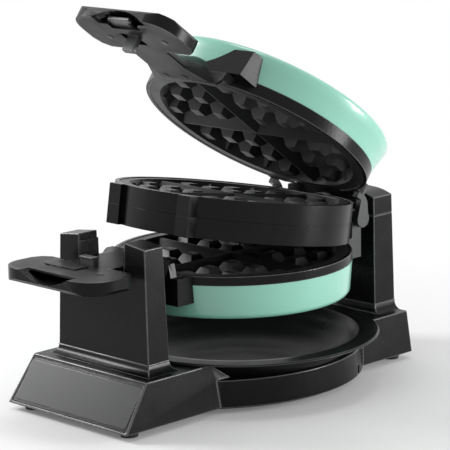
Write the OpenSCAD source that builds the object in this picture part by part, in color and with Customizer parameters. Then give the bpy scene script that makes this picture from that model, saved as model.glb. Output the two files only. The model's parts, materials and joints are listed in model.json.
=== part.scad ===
// Rotating double waffle maker: a flat base carries a hinge tower on the right and a cradle on the
// left. Three round leaves (lower lid, middle housing, upper lid) share one hinge pin, and the whole
// head turns over about a horizontal axle in the tower. X runs from the cradle to the tower, the user
// stands on the -Y side, and Z is up. The origin is on the table, under the middle of the outline.

/* [Head] */
// Outer radius of the black lid rings
ring_r = 110; // [105:0.5:114]
// Outer radius of the middle housing
mid_r = 108.5; // [105:0.5:110]
// Thickness of the middle housing
mid_h = 36; // [34:1:40]
// Height of the head's turning axis above the table
axis_z = 139; // [137:0.5:145]
// Distance of the leaf hinge pin from the head's centre
pin_x = 117; // [116:0.5:118]
// Height of the lower lid's black ring
lower_ring_h = 8.5; // [8:0.5:10]
// Height of the upper lid's black ring
upper_ring_h = 11.5; // [10:0.5:12]
// Radius of the lower shell at its outer edge
lower_edge_r = 108; // [104:0.5:110]
// Radius of the upper shell at its outer edge
upper_edge_r = 115.5; // [110:0.5:115.5]
// Depth of a lid from its face to its outer edge
lid_depth = 37; // [36:0.5:37]
// Height of the shell's dome above its outer edge
dome_h = 5; // [3:0.5:5]

/* [Cooking plates] */
// Radius of the waffle cavity at its mouth
bowl_r = 96; // [90:0.5:97]
// Depth of each waffle cavity
bowl_depth = 13; // [11:0.5:13]
// Height of the studs above the cavity floor
stud_h = 11; // [8:0.5:11.5]
// Width of a stud's square top
stud_top = 11; // [9:0.5:13]
// Width of a stud's square foot
stud_foot = 24; // [20:0.5:25]
// Distance between neighbouring studs
stud_pitch = 29; // [27:0.5:30]
// Distance of the first studs from the middle of the plate
stud_first = 26; // [25:0.5:27]
// Half width of the dividing ridges at their foot
ridge_w = 13; // [10:0.5:14]

/* [Opening angles as drawn] */
// Opening of the middle housing above the lower lid
mid_open = 9; // [0:1:20]
// Opening of the upper lid above the middle housing
top_open = 27; // [0:1:40]

/* [Handles] */
// Half width of a handle paddle
paddle_half_w = 61; // [56:1:62]
// Length of a handle paddle
paddle_l = 53.5; // [50:0.5:54]
// Reach of the lower handle from the head's centre
lower_reach = 226; // [222:1:227]
// Reach of the upper handle from the head's centre
upper_reach = 215; // [212:1:216]
// How far the upper handle's paddle sits towards the front
upper_shift = 4; // [0:1:5]
// Thickness of the lower handle's moulding
lower_handle_t = 12; // [11:0.5:13]
// Thickness of the upper handle's moulding
upper_handle_t = 11; // [10:0.5:12]
// Radius of the round neck that turns in the cradle
neck_r = 27; // [25:0.5:27]
// Height of the upper handle's flat side above the turning axis
upper_gap = 13.5; // [12:0.5:14]
// Depth of the lower handle's flat side below the turning axis
lower_gap = 2.5; // [1:0.5:3]
// Depth of the fingertip hollow in a handle's edge
scoop_depth = 8.5; // [6:0.5:8.5]
// Half width of the fingertip hollow
scoop_half_w = 31; // [24:1:31]

/* [Base] */
// Height of the feet's top face above the table
foot_top = 46; // [44:1:46]
// Height of the housing's lower edge above the table
foot_bottom = 6; // [5:0.5:7]
// Half depth of the two feet at their lower edge
foot_half_d = 77; // [72:1:78]
// Half depth of the two feet at their top face
foot_top_half_d = 73; // [70:1:75]
// Half depth of the cradle and tower at their foot
post_half_d = 58; // [56:1:60]
// Height of the cradle's prongs above the table
prong_top = 157.5; // [155:0.5:158]
// Height of the tower's arched top above the table
tower_top = 162; // [160:0.5:163]
// Radius of the drip tray's rim
tray_r = 128; // [120:1:130]
// Radius of the drip tray's bowl at its mouth
tray_bowl_r = 107; // [106:1:110]
// Wall thickness of the plastic mouldings
wall = 3; // [2.5:0.5:3.5]

/* [Hidden] */
$fn = 96;
EPS = 0.01;
foot_toe_x = -205;
foot_shoulder_x = -177;
foot_end_x = 164;
tray_y = -9;
head_x = (lower_reach - foot_end_x) / 2;
head_y = -tray_y;
face_gap = 0.15;
half_mid = mid_h / 2;
lid_edge_z = half_mid + lid_depth;
rear_flat_x = 102;
plate_r = ring_r - 4;
plate_z = half_mid + 0.8;
plate_t = 2;
floor_z = plate_z + bowl_depth;
bowl_floor_r = bowl_r - 7;
reflector_z = floor_z + plate_t + 7;
pin_r = 4;
pin_half_l = 55.5;
bore_gap = 0.05;
knuckle_r = 8;
lug_z = 13;
full_open = 74;
cap_roof = [[0, 0], [24, 0.4], [38, 1.1], [46, 2.5], [56, 5.7]];
axle_r = 10;
tower_in_x = 132;
tower_out_x = 161;
rib_x = tower_in_x + 7;
outer_rib_x = 146;
outer_rib_end_x = 152.5;
yoke_back_x = 131;
clip_x = 153.4;
clip_t = 1.1;
axle_end_x = 156;
cradle_in_x = -135.5;
cradle_out_x = -160.5;
neck_in_x = -134;
cover_half_w = 23;
skirt_in_x = -109.3;
gland_y = 76.2;
lower_bracket = [-116.5, -116.5, -49.5, 56, 18.5, 42.5, 15.5];
upper_bracket = [-111.5, -107, -66, 47, 25, 50, 23];
tray_z = foot_top + 0.3;
tray_t = 1.6;
tray_floor_z = 11;
latch_x = -180;
strike_x = latch_x + 4;
trigger_x = 5.5 - upper_reach;
scoop_r = (scoop_half_w ^ 2 + scoop_depth ^ 2) / (2 * scoop_depth);
scoop_l = 11;
trigger_y = [-17, 9];
yoke_half_w = 38;
mid_arm_y = [19, 27];
upper_arm_y = [51, 57];
lower_arm_y = [43, 49];

// ---- places -------------------------------------------------------------------------------------

// From the head's centre to the appliance's origin
module at_head() { translate([head_x, head_y, 0]) children(); }

// Turned open about the hinge pin, from a frame whose z = 0 is the turning axis
module opened(angle) {
  at_head() translate([pin_x, 0, axis_z]) rotate([0, angle, 0]) translate([-pin_x, 0, 0]) children();
}
module on_lower() { opened(0) mirror([0, 0, 1]) children(); }
module on_middle() { opened(mid_open) children(); }
module on_upper() { opened(mid_open + top_open) children(); }

// A copy on each side of the XZ plane
module both_sides() {
  children();
  mirror([0, 1, 0]) children();
}

// ---- shared shapes ------------------------------------------------------------------------------

// A flat outline in X and Z, drawn out from y0 to y1
module slab_y(y0, y1) { translate([0, y1, 0]) rotate([90, 0, 0]) linear_extrude(y1 - y0) children(); }

// A flat outline in Y and Z, drawn out from x0 to x1
module slab_x(x0, x1) {
  translate([x0, 0, 0]) rotate([90, 0, 90]) linear_extrude(x1 - x0) children();
}

// A cylinder along X
module rod_x(x0, x1, r) { translate([x0, 0, 0]) rotate([0, 90, 0]) cylinder(h = x1 - x0, r = r); }

// A cylinder along Y
module rod_y(y0, y1, r) { translate([0, y0, 0]) rotate([-90, 0, 0]) cylinder(h = y1 - y0, r = r); }

// A box between two corners
module box(low, high) { translate(low) cube(high - low); }

// A post that tapers on all four sides, between two heights
module tapered_post(x0, x1, half_d, z0, x0_top, x1_top, half_d_top, z1) {
  intersection() {
    slab_y(-half_d - 1, half_d + 1) polygon([[x0, z0], [x1, z0], [x1_top, z1], [x0_top, z1]]);
    slab_x(min(x0, x0_top) - 1, max(x1, x1_top) + 1)
      polygon([[-half_d, z0], [half_d, z0], [half_d_top, z1], [-half_d_top, z1]]);
  }
}

// Hollow curve around a post's foot, reaching out0 and out1 along X and out_d along Y
module foot_flare(x0, x1, half_d, out0, out1, out_d, h) {
  for (a = [0:22.5:67.5]) {
    low = 1 - sin(a);
    high = 1 - sin(a + 22.5);
    tapered_post(
      x0 - out0 * low, x1 + out1 * low, half_d + out_d * low, foot_top + h * (1 - cos(a)),
      x0 - out0 * high, x1 + out1 * high, half_d + out_d * high, foot_top + h * (1 - cos(a + 22.5))
    );
  }
}

// Round pieces of the head are cut flat beside the hinge
module rear_cut(x, z0, z1) { box([x, -120, z0 - 1], [x + 40, 120, z1 + 1]); }

// ---- base ---------------------------------------------------------------------------------------

// Plan of the low middle part, bulging to the front
module bulge_plan(inset) {
  intersection() {
    translate([0, 34]) circle(r = 145 - inset);
    translate([0, -20]) circle(r = 130 - inset);
    translate([-100 + inset, -150]) square([200 - 2 * inset, 300]);
  }
}

// Outline of the left and right feet in X and Z
module left_foot_outline(inset) {
  polygon([
    [foot_toe_x + inset * 1.6, foot_bottom], [foot_shoulder_x + inset * 0.8, foot_top - inset],
    [-101 - inset * 0.5, foot_top - inset], [-78 - inset, 31 - inset], [-78 - inset, foot_bottom]
  ]);
}
module right_foot_outline(inset) {
  polygon([
    [86 + inset, foot_bottom], [86 + inset, foot_top - inset],
    [161 - inset, foot_top - inset], [foot_end_x - inset, foot_bottom]
  ]);
}

// Both feet narrow a little towards their top, in Y and Z
module foot_section(inset) {
  low = foot_half_d - inset;
  high = foot_top_half_d - inset;
  polygon([[-low, foot_bottom], [low, foot_bottom], [high, foot_top], [-high, foot_top]]);
}

// Outer surface of the tray, as the space it takes in the base
module tray_outline(grow) {
  translate([0, tray_y, 0]) rotate_extrude() polygon([
    [0, tray_floor_z - tray_t - grow], [58 + grow, tray_floor_z - tray_t - grow],
    [86 + grow, 20 - grow], [102 + grow, 34 - grow], [tray_bowl_r + 1.5 + grow, tray_z],
    [tray_bowl_r + 1.5 + grow, 70], [0, 70]
  ]);
}

module base_outer(inset) {
  intersection() {
    slab_y(-foot_half_d, foot_half_d) {
      left_foot_outline(inset);
      right_foot_outline(inset);
    }
    slab_x(foot_toe_x - 1, foot_end_x + 1) foot_section(inset);
  }
  translate([0, 0, foot_bottom]) linear_extrude(25 - inset) bulge_plan(inset);
}

module base_housing() {
  color("#26272a") at_head() difference() {
    base_outer(0);
    tray_outline(0.6);
    difference() {
      translate([0, 0, -EPS]) base_outer(wall);
      tray_outline(2.2);
    }
    // recess for the trim panel in the sloping end
    trim_slab(3, 1.4);
    // posts stand over these wire openings
    translate([146, 0, foot_top - wall - 1]) cylinder(h = wall + 2, r = 12);
    translate([140, gland_y - wall - 2, 22]) rotate([-90, 0, 0]) cylinder(h = wall + 3, r = 5);
    // notch in the front wall, beside the right foot
    box([66, -100, foot_bottom - 1], [70, -70, foot_bottom + 9]);
  }
}

// The sloping end face of the left foot: a slab of the given depth and edge margin
module trim_slab(margin, depth) {
  run = foot_shoulder_x - foot_toe_x;
  rise = foot_top - foot_bottom;
  intersection() {
    translate([foot_toe_x, 0, foot_bottom]) rotate([0, -atan2(rise, run), 0])
      box([margin, -foot_half_d, -depth], [norm([run, rise]) - margin, foot_half_d, 1]);
    slab_x(foot_toe_x - 1, foot_shoulder_x + 1) foot_section(margin);
  }
}

module foot_trim_panel() {
  color("#6d716f") at_head() intersection() {
    trim_slab(3.2, 1.35);
    slab_y(-foot_half_d, foot_half_d) left_foot_outline(0);
  }
}

module base_plate() {
  color("#1b1c1e") at_head() translate([0, 0, foot_bottom - 1.5]) linear_extrude(1.5) {
    bulge_plan(4);
    translate([-198, -70]) square([120, 140]);
    translate([86, -70]) square([74, 140]);
  }
}

foot_spots = [[-188, 62], [-188, -62], [150, 62], [150, -62]];

module rubber_feet() {
  color("#111111") at_head() for (p = foot_spots)
    translate([p[0], p[1], 0]) cylinder(h = foot_bottom - 1.5, r1 = 7.5, r2 = 8.5);
}

module base_screws() {
  color("#9a9a9a") at_head() for (x = [-120, 110], y = [-55, 55])
    translate([x, y, foot_bottom - 2.7]) cylinder(h = 1.2, r = 3.5);
}

// Round-bottomed cradle slot, grown outwards, in X and Z of the head
module saddle(grow) {
  translate([0, 0, axis_z]) rod_x(-170, -125, neck_r + 0.6 + grow);
  box([-170, -neck_r - 0.6 - grow, axis_z], [-125, neck_r + 0.6 + grow, axis_z + 30]);
}

module cradle_post() {
  tapered_post(cradle_out_x, cradle_in_x, post_half_d, foot_top, -159, -137.5, 54, prong_top);
}

module cradle() {
  color("#1d1e20") at_head() difference() {
    union() {
      cradle_post();
      foot_flare(cradle_out_x, cradle_in_x, post_half_d, 8, 5, 8, 8);
    }
    saddle(1.5);
    // the prongs' tops fall away outwards
    both_sides() translate([-180, 28, prong_top]) rotate([-7, 0, 0]) cube([60, 40, 10]);
    difference() {
      tapered_post(cradle_out_x + wall, cradle_in_x - wall, post_half_d - wall, foot_top - 1,
        -159 + wall, -138 - wall, 54 - wall, prong_top - 8);
      saddle(1.5 + wall);
    }
  }
}

// Smooth insert that the neck turns in
module cradle_liner() {
  color("#2c2d30") at_head() difference() {
    intersection() {
      saddle(1.5 - EPS);
      cradle_post();
      box([-170, -40, 100], [-125, 40, axis_z + 12]);
    }
    saddle(0);
  }
}

module tower_block(inset, z0, z1) {
  intersection() {
    tapered_post(tower_in_x + inset, tower_out_x - inset, post_half_d - inset, foot_top - 1,
      tower_in_x + 1.5 + inset, tower_out_x - 1.5 - inset, 55 - inset, tower_top);
    box([100, -70, z0], [200, 70, z1]);
  }
}

// Arched top of the cap: cap_roof gives how far it falls at each distance from the middle
module cap_outline(drop) {
  slab_x(100, 200) translate([0, tower_top - drop]) polygon([
    for (p = cap_roof) [p[0], -p[1]], [70, -12], [70, -tower_top], [-70, -tower_top], [-70, -12],
    for (i = [len(cap_roof) - 1:-1:1]) [-cap_roof[i][0], -cap_roof[i][1]]
  ]);
}

module bush_seats() {
  translate([0, 0, axis_z]) {
    rod_x(120, rib_x, axle_r + 3);
    rod_x(outer_rib_x, outer_rib_end_x, axle_r + 3);
  }
}

module tower() {
  color("#1d1e20") at_head() difference() {
    union() {
      difference() {
        union() {
          tower_block(0, foot_top, axis_z);
          foot_flare(tower_in_x, tower_out_x, post_half_d, 4, 0, 8, 8);
        }
        tower_block(wall, foot_top - 1, axis_z + 1);
      }
      // ribs that carry the two bushes
      intersection() {
        tower_block(0, foot_top, axis_z);
        union() {
          box([tower_in_x, -20, foot_top], [rib_x, 20, axis_z]);
          box([outer_rib_x, -post_half_d, axis_z - 30], [outer_rib_end_x, post_half_d, axis_z]);
        }
      }
    }
    bush_seats();
  }
}

module tower_cap() {
  color("#202124") at_head() difference() {
    intersection() {
      tower_block(0, axis_z, tower_top);
      cap_outline(0);
      union() {
        difference() {
          box([100, -70, axis_z], [200, 70, 170]);
          intersection() {
            tower_block(wall, axis_z - 1, tower_top);
            cap_outline(wall);
          }
        }
        box([tower_in_x, -20, axis_z], [rib_x, 20, 170]);
        box([outer_rib_x, -post_half_d, axis_z], [outer_rib_end_x, post_half_d, 170]);
      }
    }
    bush_seats();
    both_sides() translate([149.5, 34, axis_z - 1]) cylinder(h = 8, r = 1.6);
  }
}

module tower_cap_screws() {
  color("#9a9a9a") at_head() both_sides() translate([149.5, 34, axis_z]) cylinder(h = 6.5, r = 1.5);
}

module axle_bushes() {
  color("#b08d57") at_head() translate([0, 0, axis_z]) difference() {
    union() {
      rod_x(tower_in_x - 0.4, rib_x, axle_r + 3 - 0.02);
      rod_x(outer_rib_x, outer_rib_end_x, axle_r + 3 - 0.02);
    }
    rod_x(120, 160, axle_r + bore_gap);
  }
}

module terminal_block() {
  color("#e8e6df") at_head() {
    box([100, 20, foot_bottom + 0.01], [122, 62, foot_bottom + 14]);
    for (y = [26:10:56]) translate([111, y, foot_bottom + 14]) cylinder(h = 2, r = 3);
  }
}

module cord_gland() {
  color("#151515") at_head() translate([140, gland_y, 22]) rotate([-90, 0, 0]) difference() {
    union() {
      cylinder(h = 6, r1 = 8, r2 = 6.5);
      translate([0, 0, -wall - 2]) cylinder(h = wall + 2, r = 4.9);
    }
    translate([0, 0, -10]) cylinder(h = 30, r = 3.5);
  }
}

// ---- drip tray ----------------------------------------------------------------------------------

module drip_tray() {
  color("#232427") at_head() translate([0, tray_y, 0]) rotate_extrude() polygon([
    [0, tray_floor_z - tray_t], [58, tray_floor_z - tray_t], [86, 20 - 0.6], [102, 34 - 0.4],
    [tray_bowl_r + 1, tray_z], [tray_r - 1.5, tray_z], [tray_r, tray_z + 0.8],
    [tray_r - 1.5, tray_z + tray_t + 0.6], [tray_bowl_r + 2, tray_z + tray_t], [tray_bowl_r - 1, 44],
    [101, 34], [85, 21], [57.5, tray_floor_z], [0, tray_floor_z]
  ]);
}

// ---- turning yoke -------------------------------------------------------------------------------

module axle() {
  color("#b9bcc0") at_head() translate([0, 0, axis_z]) difference() {
    union() {
      rod_x(yoke_back_x + 0.02, axle_end_x, axle_r);
      rod_x(yoke_back_x + 0.02, yoke_back_x + 0.4, axle_r + 2);
    }
    rod_x(120, 170, 5);
    difference() {
      rod_x(clip_x, clip_x + clip_t + 0.1, axle_r + 1);
      rod_x(clip_x - 1, clip_x + 2, axle_r - 1);
    }
  }
}

module axle_clip() {
  color("#8c8f93") at_head() translate([0, 0, axis_z]) difference() {
    rod_x(clip_x + 0.05, clip_x + clip_t, axle_r + 3);
    rod_x(150, 160, axle_r - 0.95);
    box([150, -3, -20], [160, 3, 0]);
  }
}

// Collar between the tower's ribs, so that the axle can't slide out
module axle_collar() {
  color("#8c8f93") at_head() translate([0, 0, axis_z]) difference() {
    rod_x(rib_x + 0.4, outer_rib_x - 0.4, axle_r + 3.5);
    rod_x(120, 170, axle_r + 0.01);
  }
}

module hinge_yoke() {
  color("#2a2b2e") at_head() translate([0, 0, axis_z]) difference() {
    union() {
      box([126.5, -yoke_half_w, -11], [yoke_back_x, yoke_half_w, 11]);
      rod_x(120, yoke_back_x, 17);
      translate([pin_x, 0, 0]) {
        rod_y(-mid_arm_y[0] + 0.5, mid_arm_y[0] - 0.5, 12.5);
        both_sides() rod_y(mid_arm_y[1] + 1, yoke_half_w, 11);
      }
      both_sides() box([pin_x, mid_arm_y[1] + 1, -11], [130, yoke_half_w, 11]);
    }
    translate([pin_x, 0, 0]) rod_y(-50, 50, pin_r + 0.01);
    // room for the middle housing's arms
    both_sides() translate([pin_x, 0, 0]) rod_y(mid_arm_y[0] - 0.5, mid_arm_y[1] + 1, 9);
    both_sides() box([pin_x - 20, mid_arm_y[0] - 0.5, -40], [126.5, mid_arm_y[1] + 1, 40]);
    box([100, -60, -40], [pin_x - 12.6, 60, 40]);
  }
}

module hinge_pin() {
  color("#c4c7ca") at_head() translate([pin_x, 0, axis_z]) rod_y(-pin_half_l, pin_half_l, pin_r);
}

// ---- one lid, face down: z = 0 is the turning axis, z grows towards the lid's outside -------------

// Outer profile of a lid, from its face to the middle of its dome
function lid_profile(ring_h, edge_r, inset) = [
  [0, half_mid + inset], [ring_r - inset, half_mid + inset], [ring_r - inset, half_mid + ring_h],
  [edge_r - inset, lid_edge_z - 3],
  for (a = [0:22.5:90]) [edge_r - 5 + (5 - inset) * cos(a), lid_edge_z - 3 + (5 - inset) * sin(a)],
  [60, lid_edge_z + dome_h - 1.2 - inset], [0, lid_edge_z + dome_h - inset]
];

module lid_solid(ring_h, edge_r, inset) {
  rotate_extrude() polygon(lid_profile(ring_h, edge_r, inset));
}

// Corner of the open upper lid that would foul the tower, in the closed lid's frame
module tower_relief(grow) {
  translate([pin_x, 0, 0]) rotate([0, -mid_open - top_open, 0])
    box([tower_in_x - 0.8 - pin_x - grow, -120, 0], [80, 120, 90]);
}

// Corner of the lid that would foul the cap where it is thrown furthest back
module cap_relief() {
  translate([pin_x, 0, 0]) rotate([0, -full_open, 0]) translate([-pin_x, 0, -axis_z])
    intersection() {
      cap_outline(-0.6);
      box([tower_in_x, -70, axis_z], [200, 70, 200]);
    }
}

module lid_shell(ring_h, edge_r) {
  z0 = half_mid + ring_h;
  difference() {
    intersection() {
      lid_solid(ring_h, edge_r, 0);
      box([-130, -130, z0], [130, 130, 90]);
    }
    difference() {
      lid_solid(ring_h, edge_r, 2.5);
      rear_cut(rear_flat_x - 2.5, 0, 90);
      tower_relief(2.5);
    }
    translate([0, 0, z0 - 1]) cylinder(h = 1.01, r = ring_r);
    rear_cut(rear_flat_x, 0, 90);
    tower_relief(0);
    cap_relief();
  }
}

// Black ring around the plate, with a ledge under the plate's rim and the hinge bosses behind
module lid_ring(ring_h, boss_x, boss_y0, boss_y1) {
  z1 = half_mid + ring_h;
  difference() {
    union() {
      translate([0, 0, half_mid + face_gap]) cylinder(h = ring_h - face_gap, r = ring_r);
      both_sides() box([80, boss_y0, half_mid + 0.3], [boss_x, boss_y1, z1]);
    }
    translate([0, 0, half_mid - 1]) cylinder(h = 1 + 0.8 + plate_t, r = plate_r);
    cylinder(h = 90, r = bowl_r + 3.2);
    difference() {
      rear_cut(rear_flat_x, 0, 90);
      both_sides() box([80, boss_y0, 0], [boss_x, boss_y1, 90]);
    }
    cap_relief();
  }
}

stud_rows = [for (side = [-1, 1], i = [0:2]) side * (stud_first + i * stud_pitch)];

// Section of a stud: a slope on each side of a flat top, with the cavity floor at floor_z
module stud_section() {
  polygon([
    [-stud_foot / 2, floor_z + 1], [-stud_foot / 2, floor_z], [-stud_top / 2, floor_z - stud_h],
    [stud_top / 2, floor_z - stud_h], [stud_foot / 2, floor_z], [stud_foot / 2, floor_z + 1]
  ]);
}

// Square studs, where bars along X cross bars along Y
module studs() {
  intersection() {
    union() for (y = stud_rows) translate([0, y, 0]) slab_x(-bowl_r, bowl_r) stud_section();
    union() for (x = stud_rows) translate([x, 0, 0]) slab_y(-bowl_r, bowl_r) stud_section();
    cavity(0.5);
  }
}

// Space inside the waffle cavity, grown outwards
module cavity(grow) {
  translate([0, 0, plate_z])
    cylinder(h = bowl_depth + 2 * grow, r1 = bowl_r + grow, r2 = bowl_floor_r + grow);
}

// Cooking plate: dished cavity, studs and four ridges; the floor lies at floor_z
module cooking_plate(back_posts) {
  difference() {
    union() {
      difference() {
        union() {
          translate([0, 0, plate_z]) cylinder(h = plate_t, r = plate_r - 0.15);
          translate([0, 0, plate_z])
            cylinder(h = bowl_depth + plate_t, r1 = bowl_r + 2.6, r2 = bowl_floor_r + 2);
        }
        cavity(0);
      }
      studs();
      ridges();
      if (back_posts) for (turn = [45:90:315]) rotate([0, 0, turn])
        translate([76, 0, floor_z + 1]) cylinder(h = reflector_z - floor_z - 1, r = 4);
    }
    rear_cut(rear_flat_x - 2.2, 0, 90);
  }
}

// Two crossed dividing ridges with sharp crests
module ridges() {
  intersection() {
    union() {
      slab_x(-bowl_r, bowl_r) ridge_section();
      slab_y(-bowl_r, bowl_r) ridge_section();
    }
    cavity(0.5);
  }
}

module ridge_section() {
  polygon([
    [-ridge_w, floor_z + 1], [-ridge_w, floor_z], [-0.6, plate_z + 1.5],
    [0.6, plate_z + 1.5], [ridge_w, floor_z], [ridge_w, floor_z + 1]
  ]);
}

// Tubular heater, bent into an open ring against the plate's back
module element(z) {
  translate([0, 0, z]) {
    rotate([0, 0, 200]) rotate_extrude(angle = 320) translate([60, 0]) circle(r = 3, $fn = 32);
  }
}

module reflector() {
  translate([0, 0, reflector_z]) difference() {
    cylinder(h = 0.8, r = 88);
    translate([0, 0, -1]) cylinder(h = 3, r = 14);
  }
}

module thermostat() {
  translate([0, 0, floor_z + plate_t]) {
    cylinder(h = 9, r = 9);
    box([-6, -3, 8], [-4, 3, 14]);
    box([4, -3, 8], [6, 3, 14]);
  }
}

// ---- one handle, in the same frame; plate_level is its flat side --------------------------------

// Plan of the paddle with its rounded corners
module paddle_plan(inset, reach, shift) {
  far = reach - inset - 25;
  near = reach - paddle_l + inset;
  w = paddle_half_w - inset;
  translate([0, -shift]) polygon([
    [-near, w - 12], [-near - 5, w - 4], [-near - 14, w],
    for (a = [90:10:180]) [-far + 25 * cos(a), w - 25 + 25 * sin(a)],
    for (a = [180:10:270]) [-far + 25 * cos(a), -w + 25 + 25 * sin(a)],
    [-near - 14, -w], [-near - 5, -w + 4], [-near, -w + 12]
  ]);
}

// Paddle with its outer edges bevelled on the far side from the cover
module paddle(level, thick, reach, shift) {
  top = level + thick;
  bevel = 3;
  front = paddle_half_w + shift;
  back = paddle_half_w - shift;
  intersection() {
    translate([0, 0, level]) linear_extrude(thick) paddle_plan(0, reach, shift);
    slab_y(-front, back) polygon([
      [-reach, level], [-reach, top - bevel], [-reach + bevel, top], [-100, top], [-100, level]
    ]);
    slab_x(-reach - 1, -100) polygon([
      [-front, level], [-front, top - bevel], [-front + bevel, top],
      [back - bevel, top], [back, top - bevel], [back, level]
    ]);
  }
}

// Plan of the cover: the paddle, the neck and the flare against the bracket
module cover_plan(inset, reach, shift) {
  w = cover_half_w - inset;
  paddle_plan(inset + 2.5, reach, shift);
  polygon([
    [paddle_l - reach - 7, w], [-111.5 - inset, w], [-111.5 - inset, -31 + inset],
    [-117, -w], [paddle_l - reach - 7, -w]
  ]);
}

function screw_spots(reach, shift) = [
  [35 - reach, 34 - shift], [35 - reach, -34 - shift], [-116, 16], [-116, -8]
];

// One side of the bracket's outline in Y and Z: sloping shoulder, then square end
function bracket_side(y_end, level, foot_z, inset) = let(y = abs(y_end) - inset) [
  [sign(y_end) * y, level], [sign(y_end) * (y + 4.5), level + 4],
  [sign(y_end) * (y + 7), foot_z], [y_end, foot_z]
];

// A bracket is [outer x at its foot, outer x at its top, front y, back y, foot z, top z, inset of its
// shoulders]
module bracket(sizes, level) {
  front = bracket_side(sizes[2], level, sizes[4], sizes[6]);
  back = bracket_side(sizes[3], level, sizes[4], sizes[6]);
  intersection() {
    slab_x(sizes[0] - 1, -80) polygon([
      each front, [sizes[2], sizes[5]], [sizes[3], sizes[5]],
      for (i = [len(back) - 1:-1:0]) back[i]
    ]);
    slab_y(-80, 80) polygon([
      [sizes[0], 0], [sizes[0], sizes[4]], [sizes[1], sizes[5] + 1], [-80, sizes[5] + 1], [-80, 0]
    ]);
  }
}

// Handle moulding: paddle, half-round neck that widens to a cone, and bracket on the lid's edge
module handle(level, thick, reach, shift, sizes, ring_h, edge_r) {
  difference() {
    union() {
      paddle(level, thick, reach, shift);
      intersection() {
        union() {
          rod_x(paddle_l - reach - 4, sizes[0] + 2, neck_r);
          translate([neck_in_x, 0, 0]) rotate([0, 90, 0])
            cylinder(h = sizes[1] + 1 - neck_in_x, r1 = neck_r, r2 = 40);
        }
        box([-200, -60, level], [-90, 60, sizes[5]]);
      }
      bracket(sizes, level);
    }
    translate([0, 0, level - 1]) linear_extrude(1 + 2) cover_plan(0, reach, shift);
    lid_solid(ring_h, edge_r, -0.1);
    box([skirt_in_x, -80, level - 1], [-60, 80, half_mid + 0.4]);
    cylinder(h = 60, r = 104);
    // hollow behind the cover
    translate([0, 0, level + 1]) linear_extrude(thick - 3.5) difference() {
      paddle_plan(7, reach, shift);
      for (p = screw_spots(reach, shift)) translate(p) circle(r = 4);
    }
    finger_scoop(level, reach, shift);
  }
}

// Shallow round hollow in the far edge, for the fingertips
module finger_scoop(level, reach, shift) {
  translate([0, -2 * shift, level + scoop_depth - scoop_r])
    rod_x(-reach - 10, scoop_l - reach, scoop_r);
}

module handle_cover(level, reach, shift, slot_x0, slot_x1, slot_half_w) {
  difference() {
    translate([0, 0, level]) linear_extrude(1.95) cover_plan(0.15, reach, shift);
    for (p = screw_spots(reach, shift)) translate([p[0], p[1], level - 1]) cylinder(h = 4, r = 2);
    box([slot_x0, -slot_half_w, level - 1], [slot_x1, slot_half_w, level + 3]);
    finger_scoop(level, reach, shift);
  }
}

module handle_screws(level, reach, shift) {
  for (p = screw_spots(reach, shift)) translate([p[0], p[1], level - 0.4]) {
    cylinder(h = 2.3, r = 1.9);
    cylinder(h = 0.4, r = 3.2);
  }
}

// ---- lower lid ----------------------------------------------------------------------------------

module lower_shell() { color("#8ccbb8") on_lower() lid_shell(lower_ring_h, lower_edge_r); }
module lower_ring() {
  color("#1c1d1f") on_lower() lid_ring(lower_ring_h, 104, lower_arm_y[0] - 0.5, lower_arm_y[1] + 0.5);
}
module lower_plate() { color("#3a3b3d") on_lower() cooking_plate(true); }
module lower_element() { color("#77706a") on_lower() element(floor_z + plate_t + 3.1); }
module lower_reflector() { color("#b7babd") on_lower() reflector(); }
module lower_thermostat() { color("#d9d3c4") on_lower() thermostat(); }

// Flat arms from the ring's bosses up to the pin
module lower_hinge_arms() {
  y0 = lower_arm_y[0];
  y1 = lower_arm_y[1];
  color("#3f4244") on_lower() both_sides() difference() {
    union() {
      translate([pin_x, 0, 0]) rod_y(y0, y1, knuckle_r);
      box([pin_x - 7, y0, 0], [pin_x + 6, y1, 38]);
      box([104, y0, half_mid + 0.5], [pin_x - 6, y1, 38]);
    }
    translate([pin_x, 0, 0]) rod_y(40, 60, pin_r + bore_gap);
  }
}

module lower_handle() {
  color("#1e1f21") on_lower() difference() {
    handle(lower_gap, lower_handle_t, lower_reach, 0, lower_bracket, lower_ring_h, lower_edge_r);
    // pocket under the cover for the catch's foot
    box([strike_x - 11.1, -12.1, lower_gap + 1], [strike_x + 8.1, 12.1, lower_gap + 3.3]);
  }
}
module lower_handle_cover() {
  color("#3b3c3e") on_lower() union() {
    handle_cover(lower_gap, lower_reach, 0, strike_x - 2, strike_x + 6.5, 9);
    // raised pad beside the catch
    box([strike_x - 21, -8, lower_gap - 1], [strike_x - 5, 30, lower_gap + EPS]);
  }
}
module lower_handle_screws() { color("#8f8f8f") on_lower() handle_screws(lower_gap, lower_reach, 0); }

// Raised catch that the upper handle's hook holds
module latch_strike() {
  color("#4a4b4d") on_lower() union() {
    box([strike_x, -8.5, -5], [strike_x + 6, 8.5, lower_gap + 2.5]);
    box([strike_x - 1.5, -8.5, -5], [strike_x + 6, 8.5, -3.4]);
    box([strike_x - 11, -12, lower_gap + 2], [strike_x + 8, 12, lower_gap + 3.2]);
  }
}

// ---- middle housing -----------------------------------------------------------------------------

module mid_ring() {
  difference() {
    union() {
      cylinder(h = half_mid, r = mid_r);
      both_sides() box([-107, 36, 0], [-80, 51, half_mid]);
    }
    translate([0, 0, half_mid - 0.8 - plate_t]) cylinder(h = 10, r = plate_r - 1.4);
    translate([0, 0, -1]) cylinder(h = 40, r = bowl_r + 3.2);
    rear_cut(rear_flat_x, -1, 90);
    both_sides() translate([-96, 43, -1]) cylinder(h = 10, r = 2);
  }
}

// A lid's plate, brought down to the middle housing's face and turned over
module mid_plate() {
  intersection() {
    translate([0, 0, 2 * half_mid]) mirror([0, 0, 1]) cooking_plate(false);
    cylinder(h = 60, r = plate_r - 1.6);
  }
}

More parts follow.
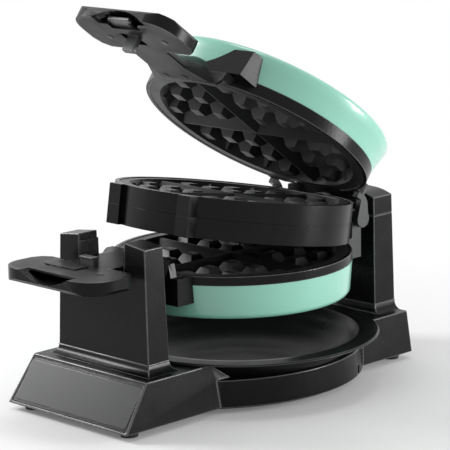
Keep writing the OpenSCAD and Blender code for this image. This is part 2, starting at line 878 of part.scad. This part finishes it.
module mid_upper_ring() { color("#27282a") on_middle() mid_ring(); }
module mid_lower_ring() { color("#27282a") on_middle() mirror([0, 0, 1]) mid_ring(); }
module mid_upper_plate() { color("#3a3b3d") on_middle() mid_plate(); }
module mid_lower_plate() { color("#3a3b3d") on_middle() mirror([0, 0, 1]) mid_plate(); }
module mid_element() {
  color("#77706a") on_middle() rotate([0, 0, 200]) rotate_extrude(angle = 320)
    translate([60, 0]) circle(r = 1.9, $fn = 32);
}
module mid_thermal_fuse() { color("#d9d3c4") on_middle() rod_y(-9, 9, 1.8); }

module mid_hinge_arms() {
  color("#2a2b2e") on_middle() both_sides() difference() {
    union() {
      translate([pin_x, 0, 0]) rod_y(mid_arm_y[0], mid_arm_y[1], knuckle_r);
      box([rear_flat_x, mid_arm_y[0], -7], [pin_x, mid_arm_y[1], 7]);
    }
    translate([pin_x, 0, 0]) rod_y(10, 60, pin_r + bore_gap);
  }
}

module mid_screws() {
  color("#8f8f8f") on_middle() both_sides() translate([-96, 43, -8.5]) cylinder(h = 17, r = 1.9);
}

// ---- upper lid ----------------------------------------------------------------------------------

module upper_shell() { color("#8ccbb8") on_upper() lid_shell(upper_ring_h, upper_edge_r); }
module upper_ring() {
  color("#1c1d1f") on_upper()
    lid_ring(upper_ring_h, rear_flat_x, upper_arm_y[0] - 0.5, upper_arm_y[1] + 0.5);
}
module upper_plate() { color("#3a3b3d") on_upper() cooking_plate(true); }
module upper_element() { color("#77706a") on_upper() element(floor_z + plate_t + 3.1); }
module upper_reflector() { color("#b7babd") on_upper() reflector(); }
module upper_thermostat() { color("#d9d3c4") on_upper() thermostat(); }

// Arms that rise from the pin's ends and then run forward to the ring, so that they pass over the tower
module upper_hinge_arms() {
  y0 = upper_arm_y[0];
  y1 = upper_arm_y[1];
  color("#3f4244") on_upper() both_sides() difference() {
    union() {
      translate([pin_x, 0, 0]) rod_y(y0, y1, knuckle_r);
      translate([pin_x, 0, 0]) slab_y(y0, y1) polygon([
        [-7.5, -2.5], [3, 7.4], [-4.5, 16], [-12, 20], [-12, half_mid + upper_ring_h],
        [rear_flat_x - pin_x, half_mid + upper_ring_h], [rear_flat_x - pin_x, half_mid + 0.5]
      ]);
      // lug under the ring
      box([97, y0, lug_z], [rear_flat_x + 5, y1, half_mid + 0.16]);
    }
    translate([pin_x, 0, 0]) rod_y(40, pin_half_l + 0.2, pin_r + bore_gap);
    cap_relief();
  }
}

module upper_handle() {
  color("#1e1f21") on_upper() difference() {
    handle(
      upper_gap, upper_handle_t, upper_reach, upper_shift, upper_bracket, upper_ring_h, upper_edge_r
    );
    // the slider's trigger reaches into the finger scoop through this slot
    box(
      [4 - upper_reach, trigger_y[0] - 2, upper_gap + 1.9],
      [20 - upper_reach, trigger_y[1] + 3, upper_gap + 6]
    );
  }
}
module upper_handle_cover() {
  color("#3b3c3e") on_upper() difference() {
    handle_cover(upper_gap, upper_reach, upper_shift, latch_x - 9, latch_x + 9, 10);
    // window over the trigger
    box(
      [-upper_reach, trigger_y[0] - 8, upper_gap - 1],
      [18 - upper_reach, trigger_y[1] + 3, upper_gap + 3]
    );
  }
}
module upper_handle_screws() {
  color("#8f8f8f") on_upper() handle_screws(upper_gap, upper_reach, upper_shift);
}

module latch_slider() {
  color("#6f7375") on_upper() union() {
    box([trigger_x + 3, -12, upper_gap + 2.4], [latch_x + 5, 12, upper_gap + 5.4]);
    box([trigger_x, trigger_y[0], upper_gap + 2.4], [trigger_x + 5, trigger_y[1], upper_gap + 5.4]);
    box([latch_x - 2, -7, 1.5], [latch_x + 2, 7, upper_gap + 3]);
    box([latch_x - 2, -7, 1.5], [latch_x + 3.7, 7, 3]);
  }
}

module latch_spring() {
  color("#aeb1b5") on_upper() difference() {
    translate([0, 0, upper_gap + 4.9]) rod_x(latch_x + 5.2, latch_x + 11.2, 2.2);
    translate([0, 0, upper_gap + 4.9]) rod_x(latch_x, latch_x + 20, 1.4);
  }
}

// ---- what is drawn ------------------------------------------------------------------------------

base_housing();
base_plate();
rubber_feet();
base_screws();
foot_trim_panel();
cradle();
cradle_liner();
tower();
tower_cap();
tower_cap_screws();
axle_bushes();
terminal_block();
cord_gland();
drip_tray();
axle();
axle_clip();
axle_collar();
hinge_yoke();
hinge_pin();
lower_shell();
lower_ring();
lower_plate();
lower_element();
lower_reflector();
lower_thermostat();
lower_hinge_arms();
lower_handle();
lower_handle_cover();
lower_handle_screws();
latch_strike();
mid_upper_ring();
mid_lower_ring();
mid_upper_plate();
mid_lower_plate();
mid_element();
mid_thermal_fuse();
mid_hinge_arms();
mid_screws();
upper_shell();
upper_ring();
upper_plate();
upper_element();
upper_reflector();
upper_thermostat();
upper_hinge_arms();
upper_handle();
upper_handle_cover();
upper_handle_screws();
latch_slider();
latch_spring();
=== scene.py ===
"""Looks of the rotating double waffle maker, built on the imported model. Sizes are in millimetres unless said."""
import json
import math

import bmesh
import bpy
from mathutils import Matrix, Vector


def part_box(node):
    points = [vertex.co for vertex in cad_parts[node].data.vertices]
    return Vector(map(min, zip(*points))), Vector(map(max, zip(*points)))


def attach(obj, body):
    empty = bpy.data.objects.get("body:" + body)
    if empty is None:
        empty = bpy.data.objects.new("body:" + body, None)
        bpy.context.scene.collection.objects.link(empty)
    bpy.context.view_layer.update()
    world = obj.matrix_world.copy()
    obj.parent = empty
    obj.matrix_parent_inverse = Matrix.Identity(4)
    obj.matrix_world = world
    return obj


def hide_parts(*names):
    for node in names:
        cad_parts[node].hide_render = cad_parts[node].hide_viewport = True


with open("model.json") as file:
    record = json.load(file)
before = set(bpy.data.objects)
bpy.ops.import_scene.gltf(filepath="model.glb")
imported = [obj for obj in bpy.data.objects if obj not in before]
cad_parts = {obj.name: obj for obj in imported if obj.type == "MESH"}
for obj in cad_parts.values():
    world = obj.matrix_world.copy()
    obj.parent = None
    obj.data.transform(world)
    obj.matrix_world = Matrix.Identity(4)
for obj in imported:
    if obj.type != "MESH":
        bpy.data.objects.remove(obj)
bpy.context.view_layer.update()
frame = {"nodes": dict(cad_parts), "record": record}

# ---- sizes shared with the solids ------------------------------------------------------------------

MM = 0.001             # metres in a millimetre
PIN_X = 117.0          # hinge pin, from the head's centre

pin_low, pin_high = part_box("hinge_pin")
PIN = (Vector(pin_low) + Vector(pin_high)) / 2 / MM
HEAD = Vector((PIN.x - PIN_X, PIN.y, 0))

# ---- camera, light and floor -----------------------------------------------------------------------

CAMERA_BACK = Vector((-0.6934, -0.6912, 0.2035)).normalized()
CAMERA_TARGET = Vector((-5.714, 0, 144.8))   # from the head's centre on the table
CAMERA_DISTANCE = 2003.4
CAMERA_ROLL = -0.8                           # degrees
CAMERA_REACH = 20                            # metres
FOCAL_PX = 2205.35
IMAGE_PX = 450
SHIFT_PX = 1.886
SENSOR = 36

LIGHT_AIM = (0, 0, 0.15)
SOFTBOXES = {          # metres and watts: place, size, power
    "softbox_left": ((-0.5, 0.95, 0.68), (0.35, 0.6), 13),
    "softbox_right": ((0.85, -1.1, 0.28), (0.4, 0.5), 14),
    "softbox_top": ((0.1, 0.1, 1.6), (0.5, 0.5), 5),
}

FLOOR_HALF = 6                               # metres
FLOOR_GREY = 0.8
FLOOR_ROUGHNESS = 0.7
FLOOR_LIFT_NEAR = 0.12                       # share of plain white at the object
FLOOR_LIFT_FROM, FLOOR_LIFT_TO = 0.25, 0.6   # metres from the object over which it rises to 1
ROOM_LIGHT = 0.5                             # strength at which the room lights the object
ROOM_SEEN = 1.0                              # strength at which the room is seen: white


def link(obj):
    bpy.context.scene.collection.objects.link(obj)
    return obj


def make_camera():
    data = bpy.data.cameras.new("camera")
    data.sensor_width = SENSOR
    data.lens = FOCAL_PX / IMAGE_PX * SENSOR
    data.shift_x = -SHIFT_PX / IMAGE_PX
    data.clip_end = CAMERA_REACH
    camera = link(bpy.data.objects.new("camera", data))
    target = (CAMERA_TARGET + HEAD) * MM
    turn = CAMERA_BACK.to_track_quat("Z", "Y").to_matrix()
    roll = Matrix.Rotation(math.radians(CAMERA_ROLL), 3, "Z")
    place = Matrix.Translation(target + CAMERA_BACK * CAMERA_DISTANCE * MM)
    camera.matrix_world = place @ (turn @ roll).to_4x4()
    bpy.context.scene.camera = camera


def make_lights():
    for name, (place, size, power) in SOFTBOXES.items():
        data = bpy.data.lights.new(name, "AREA")
        data.shape = "RECTANGLE"
        data.size, data.size_y = size
        data.energy = power
        lamp = link(bpy.data.objects.new(name, data))
        at = Vector(place)
        turn = (at - Vector(LIGHT_AIM)).to_track_quat("Z", "Y").to_matrix().to_4x4()
        lamp.matrix_world = Matrix.Translation(at) @ turn


def seen_rays(nodes, links):
    """1 where the white room is looked at, directly or in a reflection; 0 where it lights something."""
    rays = nodes.new("ShaderNodeLightPath")
    total = rays.outputs["Is Camera Ray"]
    for name in ("Is Glossy Ray", "Is Transmission Ray"):
        either = nodes.new("ShaderNodeMath")
        either.operation = "MAXIMUM"
        links.new(total, either.inputs[0])
        links.new(rays.outputs[name], either.inputs[1])
        total = either.outputs[0]
    return total


def studio_white(name):
    """White floor that keeps the object's shadow and runs into the white of the room away from the object."""
    material = bpy.data.materials.new(name)
    material.use_nodes = True
    nodes, links = material.node_tree.nodes, material.node_tree.links
    shader = nodes["Principled BSDF"]
    shader.inputs["Base Color"].default_value = (FLOOR_GREY, FLOOR_GREY, FLOOR_GREY, 1)
    shader.inputs["Roughness"].default_value = FLOOR_ROUGHNESS
    place = nodes.new("ShaderNodeTexCoord")
    distance = nodes.new("ShaderNodeVectorMath")
    distance.operation = "LENGTH"
    links.new(place.outputs["Object"], distance.inputs[0])
    lift = nodes.new("ShaderNodeMapRange")
    lift.interpolation_type = "SMOOTHSTEP"
    lift.inputs["From Min"].default_value = FLOOR_LIFT_FROM
    lift.inputs["From Max"].default_value = FLOOR_LIFT_TO
    lift.inputs["To Min"].default_value = FLOOR_LIFT_NEAR
    links.new(distance.outputs["Value"], lift.inputs["Value"])
    only_seen = nodes.new("ShaderNodeMath")
    only_seen.operation = "MULTIPLY"
    links.new(lift.outputs["Result"], only_seen.inputs[0])
    links.new(seen_rays(nodes, links), only_seen.inputs[1])
    glow = nodes.new("ShaderNodeEmission")
    mix = nodes.new("ShaderNodeMixShader")
    links.new(only_seen.outputs[0], mix.inputs["Fac"])
    links.new(shader.outputs[0], mix.inputs[1])
    links.new(glow.outputs[0], mix.inputs[2])
    links.new(mix.outputs[0], nodes["Material Output"].inputs["Surface"])
    return material


def make_floor():
    floor = link(bpy.data.objects.new("floor", bpy.data.meshes.new("floor")))
    corners = [(x * FLOOR_HALF, y * FLOOR_HALF, 0) for x, y in ((-1, -1), (1, -1), (1, 1), (-1, 1))]
    floor.data.from_pydata(corners, [], [(0, 1, 2, 3)])
    floor.data.materials.append(studio_white("floor_white"))


def make_room():
    world = bpy.data.worlds.new("studio")
    bpy.context.scene.world = world
    world.use_nodes = True
    nodes, links = world.node_tree.nodes, world.node_tree.links
    background = nodes["Background"]
    background.inputs["Color"].default_value = (1, 1, 1, 1)
    level = nodes.new("ShaderNodeMapRange")
    level.inputs["To Min"].default_value = ROOM_LIGHT
    level.inputs["To Max"].default_value = ROOM_SEEN
    links.new(seen_rays(nodes, links), level.inputs["Value"])
    links.new(level.outputs["Result"], background.inputs["Strength"])


# ---- materials -------------------------------------------------------------------------------------

class Surface:
    """A Principled material with grain in its bump, uneven roughness and patches of tint, in object space."""

    def __init__(self, name, color, roughness, metallic=0.0):
        self.material = bpy.data.materials.new(name)
        self.material.use_nodes = True
        self.nodes = self.material.node_tree.nodes
        self.links = self.material.node_tree.links
        self.shader = self.nodes["Principled BSDF"]
        self.shader.inputs["Base Color"].default_value = (*color, 1)
        self.shader.inputs["Roughness"].default_value = roughness
        self.shader.inputs["Metallic"].default_value = metallic
        self.place = self.nodes.new("ShaderNodeTexCoord").outputs["Object"]
        self.color = color
        self.roughness = roughness

    def noise(self, size, detail):
        """Noise whose features are about size millimetres across."""
        node = self.nodes.new("ShaderNodeTexNoise")
        node.inputs["Scale"].default_value = 1 / (size * MM)
        node.inputs["Detail"].default_value = detail
        self.links.new(self.place, node.inputs["Vector"])
        return node.outputs["Fac"]

    def spread(self, value, low, high, from_low=0.3, from_high=0.7):
        """Noise between from_low and from_high, spread over low to high."""
        node = self.nodes.new("ShaderNodeMapRange")
        node.inputs["From Min"].default_value = from_low
        node.inputs["From Max"].default_value = from_high
        node.inputs["To Min"].default_value = low
        node.inputs["To Max"].default_value = high
        self.links.new(value, node.inputs["Value"])
        return node.outputs["Result"]

    def uneven_roughness(self, amount, size=25):
        """Roughness that wanders by the amount either way."""
        self.links.new(
            self.spread(self.noise(size, 4), self.roughness - amount, self.roughness + amount),
            self.shader.inputs["Roughness"],
        )
        return self

    def grain(self, size, height):
        """Bump of a moulded or coated skin, features of size, height deep, in millimetres."""
        bump = self.nodes.new("ShaderNodeBump")
        bump.inputs["Strength"].default_value = 1
        bump.inputs["Distance"].default_value = height * MM
        self.links.new(self.noise(size, 3), bump.inputs["Height"])
        self.links.new(bump.outputs["Normal"], self.shader.inputs["Normal"])
        return self

    def tinted(self, other, size, from_low=0.45, from_high=0.7):
        """Patches of another colour."""
        mix = self.nodes.new("ShaderNodeMix")
        mix.data_type = "RGBA"
        mix.inputs["A"].default_value = (*self.color, 1)
        mix.inputs["B"].default_value = (*other, 1)
        self.links.new(self.spread(self.noise(size, 3), 0, 1, from_low, from_high), mix.inputs["Factor"])
        self.links.new(mix.outputs["Result"], self.shader.inputs["Base Color"])
        return self

    def coat(self, weight, roughness):
        """Clear gloss over the colour."""
        self.shader.inputs["Coat Weight"].default_value = weight
        self.shader.inputs["Coat Roughness"].default_value = roughness
        return self

    def gloss(self, value):
        """Strength of the mirror-like part, 0.5 for common plastic."""
        self.shader.inputs["Specular IOR Level"].default_value = value
        return self


def make_materials():
    """One material for each slot of the record, two lighter ones that paint a highlight along rounded edges, and
    one for the handles' screws.
    """
    made = {
        "mint_gloss": Surface("mint_gloss", (0.235, 0.55, 0.43), 0.34)
        .tinted((0.24, 0.56, 0.44), 60).uneven_roughness(0.03).grain(6, 0.002).coat(0.7, 0.09),
        # painted highlight: a pale mint on the rounded rim of the mint shells, in place of the light line that rim
        # catches
        "mint_painted_highlight_edge": Surface("mint_painted_highlight_edge", (0.5, 0.78, 0.7), 0.3)
        .tinted((0.42, 0.72, 0.63), 20).uneven_roughness(0.03).grain(6, 0.002).coat(0.7, 0.09),
        # painted highlight: a grey far lighter than the black plastic, on the rounded edges of black parts and the
        # drip tray, in place of the light those edges catch
        "painted_highlight_edge": Surface("painted_highlight_edge", (0.085, 0.085, 0.086), 0.25)
        .tinted((0.055, 0.055, 0.056), 12, 0.3, 0.6).uneven_roughness(0.05).grain(0.5, 0.004).gloss(0.5),
        "black_plastic": Surface("black_plastic", (0.0045, 0.0045, 0.0047), 0.26)
        .tinted((0.006, 0.006, 0.0062), 8).uneven_roughness(0.03).grain(0.5, 0.005).gloss(0.13),
        "cover_plastic": Surface("cover_plastic", (0.007, 0.007, 0.0072), 0.36)
        .tinted((0.011, 0.011, 0.0113), 2).uneven_roughness(0.05).grain(0.6, 0.015).gloss(0.13),
        "tray_black": Surface("tray_black", (0.007, 0.007, 0.0072), 0.3)
        .tinted((0.0085, 0.0085, 0.0088), 12).uneven_roughness(0.03).grain(0.7, 0.004).gloss(0.14),
        "trim_grey": Surface("trim_grey", (0.024, 0.0255, 0.025), 0.3)
        .tinted((0.026, 0.0275, 0.027), 30).uneven_roughness(0.01).grain(0.4, 0.004).gloss(0.14),
        "nonstick": Surface("nonstick", (0.024, 0.0245, 0.025), 0.4)
        .tinted((0.07, 0.07, 0.07), 0.8, 0.62, 0.75).uneven_roughness(0.05).grain(0.7, 0.03).gloss(0.3),
        "heater_tube": Surface("heater_tube", (0.18, 0.16, 0.15), 0.5, 0.8)
        .tinted((0.12, 0.09, 0.08), 5).uneven_roughness(0.1).grain(1, 0.02),
        "reflector_sheet": Surface("reflector_sheet", (0.6, 0.6, 0.62), 0.35, 1.0)
        .tinted((0.52, 0.52, 0.54), 10).uneven_roughness(0.1).grain(4, 0.02),
        "ceramic_white": Surface("ceramic_white", (0.7, 0.67, 0.6), 0.6)
        .tinted((0.62, 0.58, 0.5), 4).uneven_roughness(0.05).grain(1, 0.02),
        "plain_steel": Surface("plain_steel", (0.42, 0.42, 0.43), 0.32, 1.0)
        .tinted((0.33, 0.33, 0.34), 3).uneven_roughness(0.08).grain(0.6, 0.01),
        "blackened_steel": Surface("blackened_steel", (0.03, 0.03, 0.031), 0.4, 0.6)
        .tinted((0.1, 0.1, 0.1), 0.8, 0.6, 0.7).uneven_roughness(0.08).grain(0.5, 0.02),
        "arm_steel": Surface("arm_steel", (0.035, 0.036, 0.037), 0.4, 0.3)
        .tinted((0.028, 0.028, 0.029), 5).uneven_roughness(0.06).grain(0.6, 0.015),
        "bush_brass": Surface("bush_brass", (0.55, 0.4, 0.2), 0.35, 1.0)
        .tinted((0.45, 0.3, 0.14), 3).uneven_roughness(0.08).grain(0.8, 0.01),
        "black_rubber": Surface("black_rubber", (0.012, 0.012, 0.012), 0.75)
        .tinted((0.02, 0.02, 0.02), 2).uneven_roughness(0.08).grain(0.8, 0.03),
        "grey_plastic": Surface("grey_plastic", (0.045, 0.046, 0.047), 0.36)
        .tinted((0.038, 0.039, 0.04), 6).uneven_roughness(0.06).grain(0.6, 0.012),
    }
    return {name: surface.material for name, surface in made.items()}


def record_paint(node):
    """The record's slot and body of a node."""
    slot = next(entry["material_slot"] for entry in RECORD["subparts"] if entry["node"] == node)
    body = next(body for body, nodes in RECORD["behaviour"]["bodies"].items() if node in nodes)
    return slot, body


def paint_nodes():
    for entry in RECORD["subparts"]:
        blackened = entry["node"].endswith("handle_screws")
        material = materials["blackened_steel" if blackened else entry["material_slot"]]
        for material_slot in frame["nodes"][entry["node"]].material_slots:
            material_slot.material = material


# ---- pieces that stand in for nodes ----------------------------------------------------------------

SMOOTH_ANGLE = 28      # degrees; edges sharper than this are rounded, softer ones are shaded smooth
FLAT_ANGLE = 0.6       # degrees; faces that meet at less than this are one face
EDGE_STEPS = 3
SAME_POINT = 0.004
TINY_EDGE = 0.2        # on the handles, edges shorter than this are closed up before the rounding

# how wide each node's sharp edges are rounded; Blender narrows it where a face is small, except on FULL_ROUNDING
ROUNDING = {
    "base_housing": 0.9, "cradle": 0.9, "cradle_liner": 0.4, "tower": 0.9, "tower_cap": 0.9,
    "axle_collar": 0.4, "hinge_yoke": 0.8, "lower_ring": 0.6,
    "lower_hinge_arms": 0.6, "lower_handle": 1.2, "lower_handle_cover": 0.4, "latch_strike": 0.4,
    "mid_upper_ring": 0.35, "mid_lower_ring": 0.35, "mid_hinge_arms": 0.6, "upper_ring": 0.6,
    "upper_hinge_arms": 0.6, "upper_handle": 1.2, "upper_handle_cover": 0.4,
    "lower_plate": 0.5, "upper_plate": 0.5, "mid_upper_plate": 0.5, "mid_lower_plate": 0.5,
}
FULL_ROUNDING = ("base_housing", "cradle", "tower", "tower_cap", "upper_ring", "lower_ring")
# rounded edges of the round bodies get painted highlights: grey on the drip tray, pale mint on the shells
ROUND_BODIES = {"drip_tray": "painted_highlight_edge", "lower_shell": "mint_painted_highlight_edge", "upper_shell": "mint_painted_highlight_edge"}
ROUND_BODY_EDGE = 0.3

LATCH_VOXEL = 0.4
LATCH_RELAX = 6        # rounds of smoothing
LATCH_RELAX_SHARE = 0.5
LATCH_KEEP = 0.25      # share of the faces that is kept

PANEL_OUT = Vector((-1, 0, 0.5))   # roughly the way the trim panel faces
PANEL_LEVEL = 0.01                 # points this near its face lie on it
CORNER_STEPS = 6


def finish_piece(piece, body, slot, *nodes):
    piece.data.materials[0] = materials[slot]
    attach(piece, body)
    if nodes:
        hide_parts(*nodes)


def add_bevel(piece, width, clamp=True, edge="painted_highlight_edge"):
    """Rounds sharp edges; their faces get a material of their own if edge names one, which paints a highlight
    along them.
    """
    bevel = piece.modifiers.new("rounded_edges", "BEVEL")
    bevel.width = width * MM
    bevel.segments = EDGE_STEPS
    bevel.limit_method = "ANGLE"
    bevel.angle_limit = math.radians(SMOOTH_ANGLE)
    bevel.harden_normals = True
    bevel.miter_outer = "MITER_ARC"
    bevel.use_clamp_overlap = clamp
    if edge:
        bevel.material = len(piece.data.materials)
        piece.data.materials.append(materials[edge])


def node_mesh(node, merge):
    """A node's mesh, welded, to be worked on and written back."""
    mesh = frame["nodes"][node].data.copy()
    work = bmesh.new()
    work.from_mesh(mesh)
    bmesh.ops.remove_doubles(work, verts=work.verts, dist=merge * MM)
    return mesh, work


def write_mesh(work, mesh):
    """The worked mesh with smooth shading between its sharp edges."""
    for face in work.faces:
        face.smooth = True
    work.to_mesh(mesh)
    work.free()
    mesh.set_sharp_from_angle(angle=math.radians(SMOOTH_ANGLE))


def soften(node, width, edge, flat=FLAT_ANGLE, merge=SAME_POINT):
    """A copy of a node's mesh, cleaned of flat seams and with its sharp edges rounded, that replaces the node."""
    slot, body = record_paint(node)
    mesh, work = node_mesh(node, merge)
    mesh.materials.clear()
    mesh.materials.append(materials[slot])
    if flat:
        bmesh.ops.dissolve_limit(
            work, angle_limit=math.radians(flat), verts=work.verts, edges=work.edges, use_dissolve_boundaries=False
        )
    write_mesh(work, mesh)
    piece = link(bpy.data.objects.new(node + "_soft", mesh))
    add_bevel(piece, width, node not in FULL_ROUNDING, edge)
    finish_piece(piece, body, slot, node)


def mould(node, voxel, rounds, keep):
    """A copy of a node's mesh with its edges relaxed as in a moulding: fine voxels, smoothed, thinned out."""
    slot, body = record_paint(node)
    mesh, work = node_mesh(node, SAME_POINT)
    work.to_mesh(mesh)
    work.free()
    rough = link(bpy.data.objects.new(node + "_rough", mesh))
    remesh = rough.modifiers.new("voxels", "REMESH")
    remesh.mode = "VOXEL"
    remesh.voxel_size = voxel * MM
    relax = rough.modifiers.new("relax", "SMOOTH")
    relax.factor = LATCH_RELAX_SHARE
    relax.iterations = rounds
    thin = rough.modifiers.new("thin", "DECIMATE")
    thin.ratio = keep
    bpy.context.view_layer.update()
    final = bpy.data.meshes.new_from_object(rough.evaluated_get(bpy.context.evaluated_depsgraph_get()))
    bpy.data.objects.remove(rough)
    final.shade_smooth()
    piece = link(bpy.data.objects.new(node + "_moulded", final))
    finish_piece(piece, body, slot, node)


class Panel:
    """The face of the foot's trim panel, as a plane with a left, right, bottom and top in metres."""

    def __init__(self, source):
        front = max(source.polygons, key=lambda face: face.area * max(face.normal.dot(PANEL_OUT), 0))
        self.out = front.normal.copy()
        self.across = Vector((0, 0, 1)).cross(self.out).normalized()
        self.up = self.out.cross(self.across)
        points = [vertex.co for vertex in source.vertices]
        self.level = max(point.dot(self.out) for point in points)
        face = [point for point in points if self.level - point.dot(self.out) < PANEL_LEVEL * MM]
        self.low = [min(point.dot(way) for point in face) for way in (self.across, self.up)]
        self.high = [max(point.dot(way) for point in face) for way in (self.across, self.up)]

    def outline(self, margin, corner):
        """A rounded rectangle, margin inside the panel's edges."""
        left, bottom = (value + (margin + corner) * MM for value in self.low)
        right, top = (value - (margin + corner) * MM for value in self.high)
        for turn, (x, y) in enumerate(((right, top), (left, top), (left, bottom), (right, bottom))):
            for step in range(CORNER_STEPS + 1):
                angle = math.pi / 2 * (turn + step / CORNER_STEPS)
                yield x + corner * MM * math.cos(angle), y + corner * MM * math.sin(angle)

    def sheet(self, name, slot, *nodes, margin, corner, raised, thick, width):
        """A sheet with rounded corners and edges of the width, whose face is raised from the panel's."""
        work = bmesh.new()
        face_at = self.out * (self.level + raised * MM)
        outline = self.outline(margin, corner)
        ring = [work.verts.new(self.across * x + self.up * y + face_at) for x, y in outline]
        grown = bmesh.ops.extrude_face_region(work, geom=[work.faces.new(ring)])
        moved = [item for item in grown["geom"] if isinstance(item, bmesh.types.BMVert)]
        bmesh.ops.translate(work, verts=moved, vec=-self.out * thick * MM)
        bmesh.ops.recalc_face_normals(work, faces=work.faces)
        mesh = bpy.data.meshes.new(name)
        write_mesh(work, mesh)
        mesh.materials.append(materials[slot])
        piece = link(bpy.data.objects.new(name, mesh))
        add_bevel(piece, width)
        finish_piece(piece, "base", slot, *nodes)


RECORD = frame["record"]
make_camera()
make_lights()
make_floor()
make_room()
materials = make_materials()
paint_nodes()

for name, width in ROUNDING.items():
    # the rounded edges of black parts get the painted highlight grey, except on the middle rings
    edge = None if name.startswith("mid_") else "painted_highlight_edge"
    soften(name, width, edge, merge=TINY_EDGE if name.endswith("_handle") else SAME_POINT)
for name, edge in ROUND_BODIES.items():
    soften(name, ROUND_BODY_EDGE, edge, flat=0)
mould("latch_slider", LATCH_VOXEL, LATCH_RELAX, LATCH_KEEP)
panel = Panel(frame["nodes"]["foot_trim_panel"].data)
panel.sheet("trim_surround", "black_plastic", margin=0.1, corner=1, raised=-0.7, thick=1.2, width=0.3)
panel.sheet(
    "trim_sheet", "trim_grey", "foot_trim_panel", margin=2.2, corner=3, raised=-0.1, thick=1.6, width=0.6
)

bpy.context.scene.view_settings.view_transform = "Standard"
